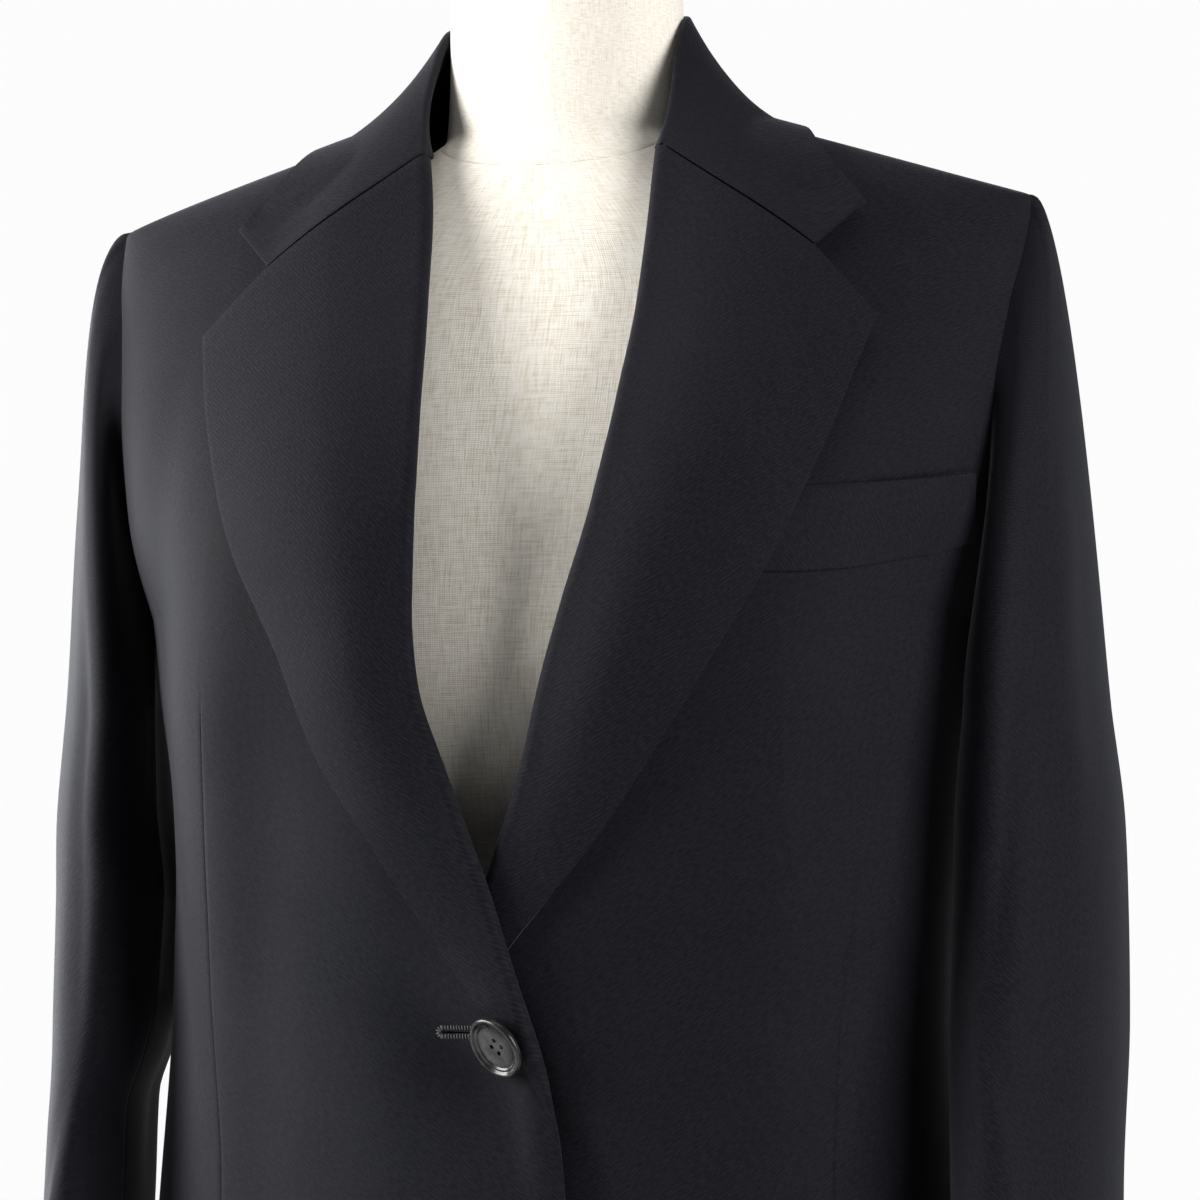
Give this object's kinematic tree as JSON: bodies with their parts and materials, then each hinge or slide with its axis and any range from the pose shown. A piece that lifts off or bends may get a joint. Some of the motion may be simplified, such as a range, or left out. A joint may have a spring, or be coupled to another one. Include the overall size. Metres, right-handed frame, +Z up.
{
  "type": "chesterfield coat on a dress form",
  "caption": "Black wool single-breasted chesterfield coat with notch lapels and a breast welt, buttoned on a limbless linen dress form with a pole and a round base.",
  "frame": {"origin": "centre of the stand's underside, on the floor", "axes": "+Z up along the pole; the coat's front faces -Y; the wearer's left is +X"},
  "size_m": [0.4766, 0.38, 1.512],
  "materials": {
    "wool_twill": "fine diagonal twill wool, matte with a faint cool sheen",
    "button": "polished black with a raised rim and a dished middle",
    "linen_cover": "plain-woven natural linen with slubs",
    "painted_steel": "satin off-white paint",
    "beech": "turned beech with a satin varnish"
  },
  "bodies": {
    "root": {"front_left": "wool_twill", "front_right": "wool_twill", "back_left": "wool_twill", "back_right": "wool_twill", "lapel_left": "wool_twill", "lapel_right": "wool_twill", "collar_fall": "wool_twill", "collar_stand": "wool_twill", "sleeve_top_left": "wool_twill", "sleeve_top_right": "wool_twill", "sleeve_under_left": "wool_twill", "sleeve_under_right": "wool_twill", "breast_welt": "wool_twill", "button_1": "button", "button_2": "button", "button_3": "button", "form_torso": "linen_cover", "form_neck": "linen_cover", "form_neck_cap": "beech", "form_pole": "painted_steel", "form_base": "painted_steel"}
  },
  "joints": []
}
